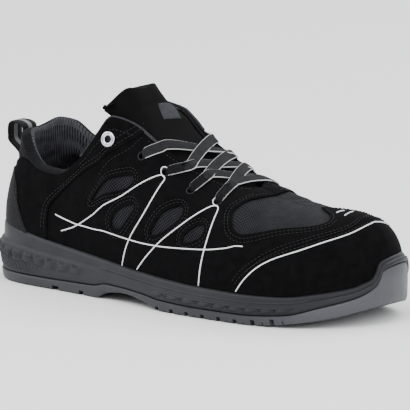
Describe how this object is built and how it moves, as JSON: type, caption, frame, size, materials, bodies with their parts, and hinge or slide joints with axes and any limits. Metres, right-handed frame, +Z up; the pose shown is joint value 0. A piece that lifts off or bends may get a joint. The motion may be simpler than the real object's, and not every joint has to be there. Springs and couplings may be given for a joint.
{
  "type": "safety sneaker",
  "caption": "Low-cut work shoe for the right foot: hollow mesh upper with suede overlays, padded collar and tongue, lace, pull loop, foam midsole and lugged rubber outsole.",
  "frame": {"origin": "on the floor under the middle of the heel, on the outsole's heel tread", "axes": "+X from heel to toe, +Y to the foot's inner side, +Z up"},
  "size_m": [0.3038, 0.1189, 0.1324],
  "materials": {
    "outsole_rubber": "matte",
    "midsole_foam": "matte",
    "lining": "knitted textile",
    "mesh_textile": "open mesh",
    "suede": "napped suede",
    "webbing": "woven webbing",
    "lace_cord": "flat braid",
    "piping": "reflective cord",
    "eyelet_metal": "polished"
  },
  "bodies": {
    "root": {"outsole": "outsole_rubber", "midsole": "midsole_foam", "insole": "lining", "upper": "mesh_textile", "quarter_outer": "suede", "quarter_inner": "suede", "toe_cap": "suede", "heel_counter": "suede", "back_strap": "webbing", "tongue": "mesh_textile", "laces": "lace_cord", "eyelet_outer": "eyelet_metal", "eyelet_inner": "eyelet_metal", "pull_loop": "webbing"}
  },
  "joints": []
}
